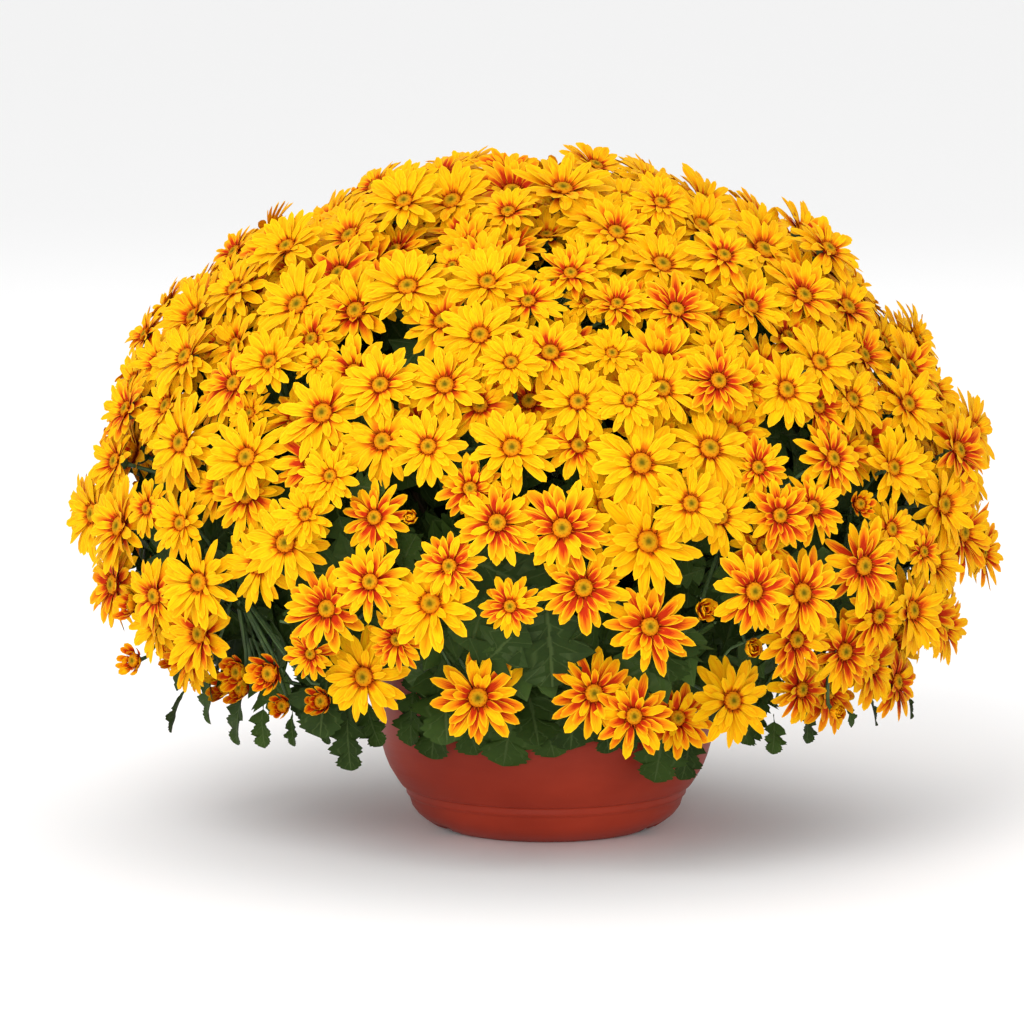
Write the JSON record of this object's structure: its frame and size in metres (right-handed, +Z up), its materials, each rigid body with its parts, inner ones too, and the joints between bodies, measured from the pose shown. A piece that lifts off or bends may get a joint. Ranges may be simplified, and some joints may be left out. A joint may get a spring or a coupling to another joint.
{
  "type": "pot chrysanthemum",
  "caption": "Dome of yellow and orange daisy chrysanthemums over dark lobed leaves, rooted in a low terracotta-red plastic pan.",
  "frame": {"origin": "centre of the pan's flat base, on the surface it stands on", "axes": "+Z up along the pan's axis; the plant's best side looks along -Y; +X to the right as seen from there"},
  "size_m": [0.5407, 0.5425, 0.3936],
  "materials": {
    "pan": "satin moulded terracotta-red plastic",
    "soil": "crumbly dark potting mix of peat and bark",
    "foliage": "dark matte green leaves on woody stems",
    "flowers": "yellow petals flamed orange from the base, with an olive-yellow disc"
  },
  "bodies": {
    "root": {"pan": "pan", "soil": "soil", "leafy_stem_1": "foliage", "leafy_stem_2": "foliage", "leafy_stem_3": "foliage", "leafy_stem_4": "foliage", "leafy_stem_5": "foliage", "spray_01": "flowers", "spray_02": "flowers", "spray_03": "flowers", "spray_04": "flowers", "spray_05": "flowers", "spray_06": "flowers", "spray_07": "flowers", "spray_08": "flowers", "spray_09": "flowers", "spray_10": "flowers", "spray_11": "flowers", "spray_12": "flowers", "spray_13": "flowers", "spray_14": "flowers", "spray_15": "flowers", "spray_16": "flowers", "spray_17": "flowers", "spray_18": "flowers", "spray_19": "flowers", "spray_20": "flowers", "spray_21": "flowers", "spray_22": "flowers", "spray_23": "flowers", "spray_24": "flowers", "spray_25": "flowers", "spray_26": "flowers", "spray_27": "flowers", "spray_28": "flowers", "spray_29": "flowers", "spray_30": "flowers", "spray_31": "flowers", "spray_32": "flowers", "spray_33": "flowers", "spray_34": "flowers", "spray_35": "flowers", "spray_36": "flowers", "spray_37": "flowers", "spray_38": "flowers", "spray_39": "flowers", "spray_40": "flowers", "spray_41": "flowers", "spray_42": "flowers"}
  },
  "joints": []
}
